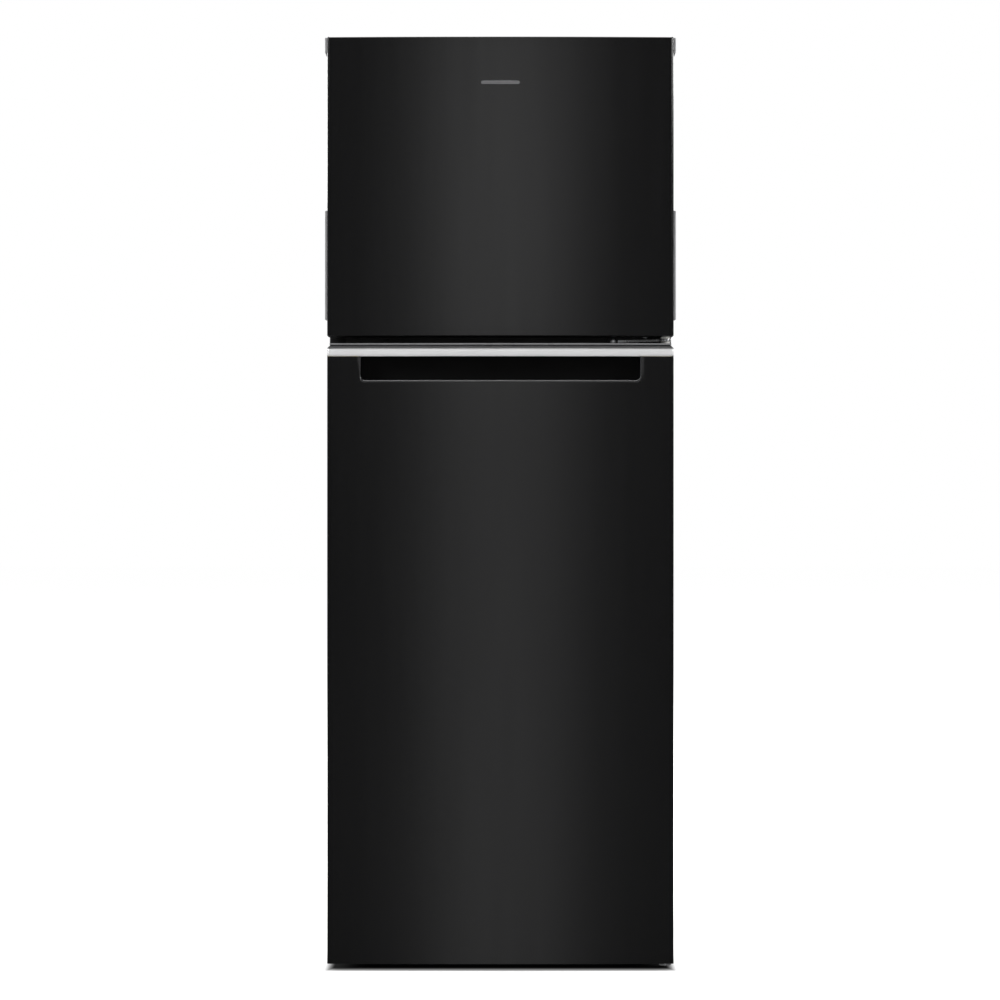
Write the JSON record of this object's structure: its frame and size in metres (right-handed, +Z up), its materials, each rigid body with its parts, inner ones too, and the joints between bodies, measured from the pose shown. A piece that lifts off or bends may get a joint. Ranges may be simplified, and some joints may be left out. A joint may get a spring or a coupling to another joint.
{
  "type": "top freezer refrigerator",
  "caption": "Free-standing refrigerator with a freezer compartment above and a fresh food compartment below, each behind its own hinged, slightly crowned black door.",
  "frame": {"origin": "on the floor, under the middle of the overall box", "axes": "+Z up; the doors face -Y; the door hinges are on the +X side"},
  "size_m": [0.6, 0.7, 1.6],
  "materials": {
    "black_coat": "semi-gloss black coat",
    "galvanized": "galvanized sheet",
    "rail_paint": "black painted rail",
    "hinge_steel": "zinc plated",
    "washer_nylon": "natural nylon",
    "bush_acetal": "black acetal",
    "foam": "rigid polyurethane foam",
    "liner_white": "white moulded liner",
    "gasket_grey": "soft magnetic gasket",
    "cap_grey": "grey moulded plastic",
    "cap_black": "black moulded plastic",
    "cup_black": "black moulded handle cup",
    "trim_silver": "brushed silver",
    "clear_plastic": "clear moulded plastic",
    "shelf_glass": "tempered glass",
    "trim_white": "white shelf trim",
    "lens": "frosted lens",
    "compressor_black": "black enamel",
    "copper": "bare copper",
    "aluminium": "bare aluminium",
    "fan_plastic": "black moulded fan",
    "motor": "grey motor case"
  },
  "bodies": {
    "cabinet": {"base_pan": "galvanized", "bottom_hinge": "hinge_steel", "compressor": "compressor_black", "compressor_tray": "galvanized", "condenser_clips": "cap_black", "condenser_tube": "compressor_black", "condenser_wires": "compressor_black", "control_housing": "liner_white", "copper_tubing": "copper", "drain_pan": "liner_white", "evaporator_coil": "aluminium", "evaporator_cover": "liner_white", "fan_motor": "motor", "freezer_liner": "liner_white", "fridge_liner": "liner_white", "front_rails": "rail_paint", "hinge_cover": "cap_black", "hinge_pins": "hinge_steel", "hinge_screws": "hinge_steel", "hinge_washers": "washer_nylon", "insulation": "foam", "lamp_lens": "lens", "middle_hinge": "hinge_steel", "outer_wrapper": "black_coat", "power_inlet": "cap_black", "rail_plugs": "bush_acetal", "rear_panel": "galvanized", "roller_frames": "galvanized", "shelf_glass": "shelf_glass", "shelf_trims": "trim_white", "terminal_cover": "cap_black", "top_hinge": "hinge_steel"},
    "freezer_door": {"upper_door_bins": "clear_plastic", "upper_door_bottom_cap": "cap_black", "upper_door_bushes": "bush_acetal", "upper_door_foam": "foam", "upper_door_gasket": "gasket_grey", "upper_door_grips": "cap_grey", "upper_door_liner": "liner_white", "upper_door_skin": "black_coat", "upper_door_top_cap": "cap_grey", "badge": "trim_silver"},
    "fridge_door": {"lower_door_bins": "clear_plastic", "lower_door_bottom_cap": "cap_black", "lower_door_bushes": "bush_acetal", "lower_door_foam": "foam", "lower_door_gasket": "gasket_grey", "lower_door_liner": "liner_white", "lower_door_skin": "black_coat", "lower_door_top_cap": "cap_black", "lower_door_trim": "trim_silver", "handle_cup": "cup_black"},
    "fan": {"evaporator_fan": "fan_plastic"},
    "knob": {"control_knob": "trim_white"},
    "slider": {"humidity_slider": "trim_white"},
    "drawer": {"crisper_drawer": "clear_plastic"},
    "foot_left": {"front_foot_left": "cap_black"},
    "foot_right": {"front_foot_right": "cap_black"},
    "roller_left": {"rear_roller_left": "cap_black"},
    "roller_right": {"rear_roller_right": "cap_black"}
  },
  "joints": [
    {"name": "freezer_door_hinge", "type": "hinge", "parent": "cabinet", "child": "freezer_door", "pos_m": [0.283, -0.312, 1.35], "axis": [0, 0, 1], "range_deg": [0, 115]},
    {"name": "fridge_door_hinge", "type": "hinge", "parent": "cabinet", "child": "fridge_door", "pos_m": [0.283, -0.312, 0.55], "axis": [0, 0, 1], "range_deg": [0, 115]},
    {"name": "fan_spin", "type": "hinge", "parent": "cabinet", "child": "fan", "pos_m": [0, 0.195, 1.4129], "axis": [0, 1, 0], "continuous": true},
    {"name": "knob_turn", "type": "hinge", "parent": "cabinet", "child": "knob", "pos_m": [0.062, -0.04, 1.0219], "axis": [0, -1, 0], "range_deg": [0, 270]},
    {"name": "humidity_slide", "type": "slide", "parent": "cabinet", "child": "slider", "axis": [1, 0, 0], "range_m": [0, 0.047]},
    {"name": "drawer_slide", "type": "slide", "parent": "cabinet", "child": "drawer", "axis": [0, -1, 0], "range_m": [0, 0.115]},
    {"name": "foot_left_turn", "type": "hinge", "parent": "cabinet", "child": "foot_left", "pos_m": [-0.223, -0.246, 0.02], "axis": [0, 0, 1], "continuous": true},
    {"name": "foot_right_turn", "type": "hinge", "parent": "cabinet", "child": "foot_right", "pos_m": [0.223, -0.246, 0.02], "axis": [0, 0, 1], "continuous": true},
    {"name": "roller_left_spin", "type": "hinge", "parent": "cabinet", "child": "roller_left", "pos_m": [-0.247, 0.276, 0.0125], "axis": [1, 0, 0], "continuous": true},
    {"name": "roller_right_spin", "type": "hinge", "parent": "cabinet", "child": "roller_right", "pos_m": [0.247, 0.276, 0.0125], "axis": [1, 0, 0], "continuous": true}
  ]
}
